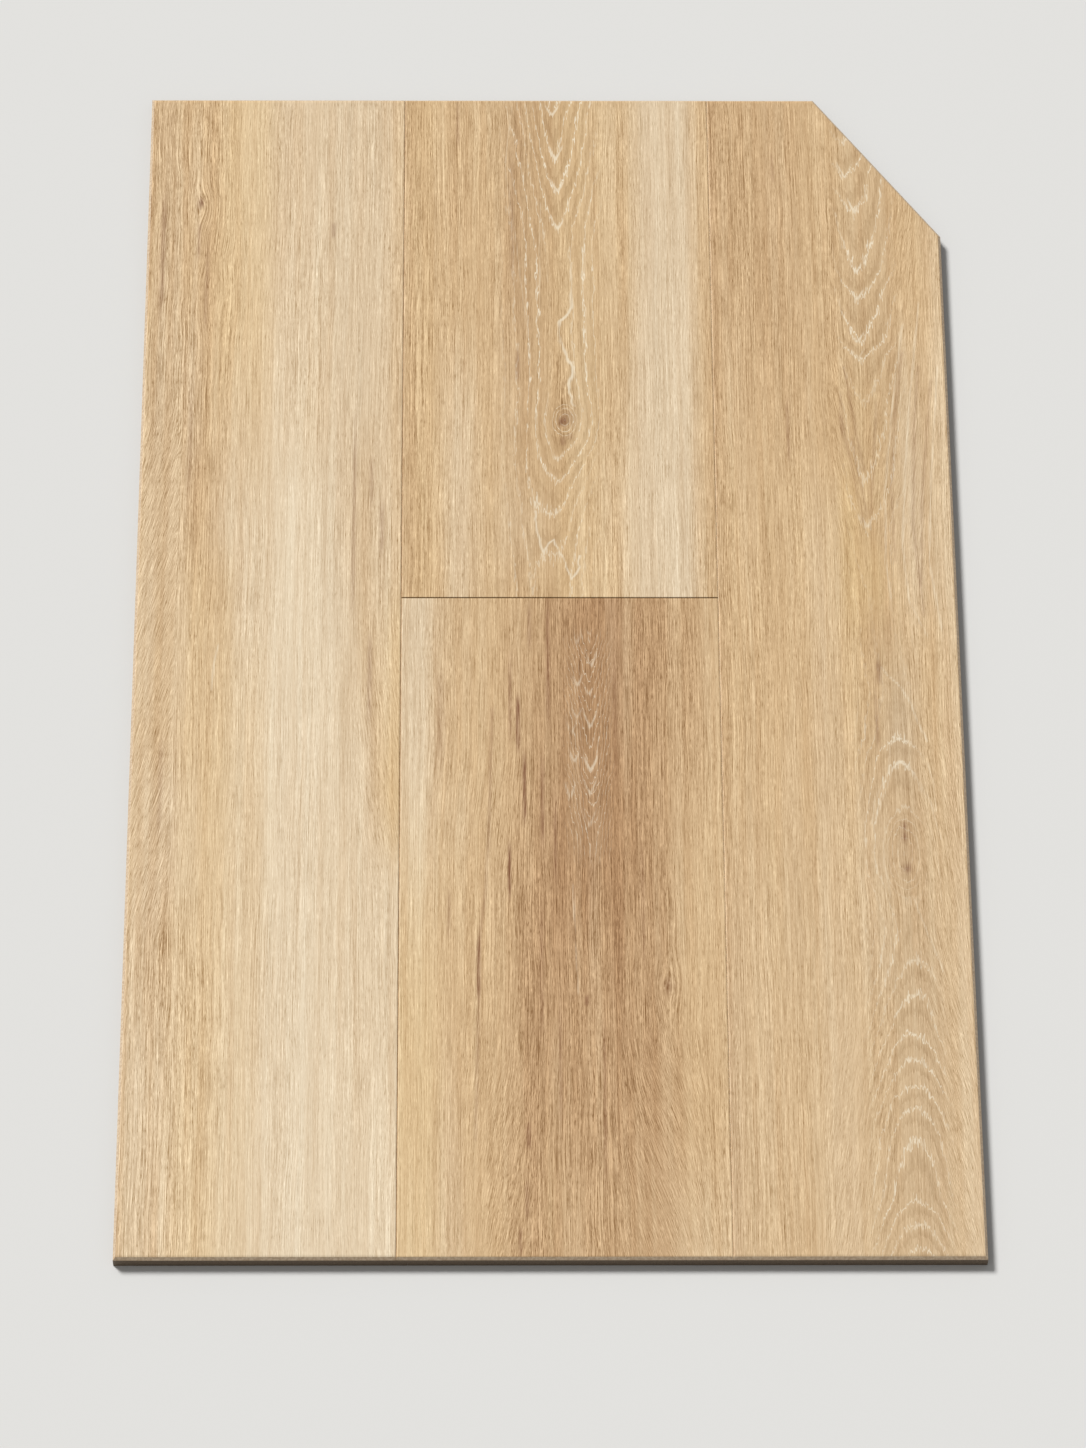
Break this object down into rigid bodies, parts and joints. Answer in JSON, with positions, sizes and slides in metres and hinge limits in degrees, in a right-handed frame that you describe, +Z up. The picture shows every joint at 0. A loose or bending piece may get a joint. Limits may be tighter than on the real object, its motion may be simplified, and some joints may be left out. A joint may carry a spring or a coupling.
{
  "type": "vinyl plank floor panel",
  "caption": "Flat trimmed panel of click-together vinyl floor planks with a pale oak print, bevelled round its upper edge, one rear corner clipped.",
  "frame": {"origin": "on the underside, below the middle of the panel's bounding box", "axes": "+Y along the planks towards the rear edge with the clipped corner, +X across the rows to the clipped side, +Z up through the wear face"},
  "size_m": [0.467, 0.76, 0.008],
  "materials": {
    "oak_vinyl": "matte embossed pale oak print"
  },
  "bodies": {
    "root": {"left_plank": "oak_vinyl", "middle_rear_plank": "oak_vinyl", "middle_front_plank": "oak_vinyl", "right_plank": "oak_vinyl"}
  },
  "joints": []
}
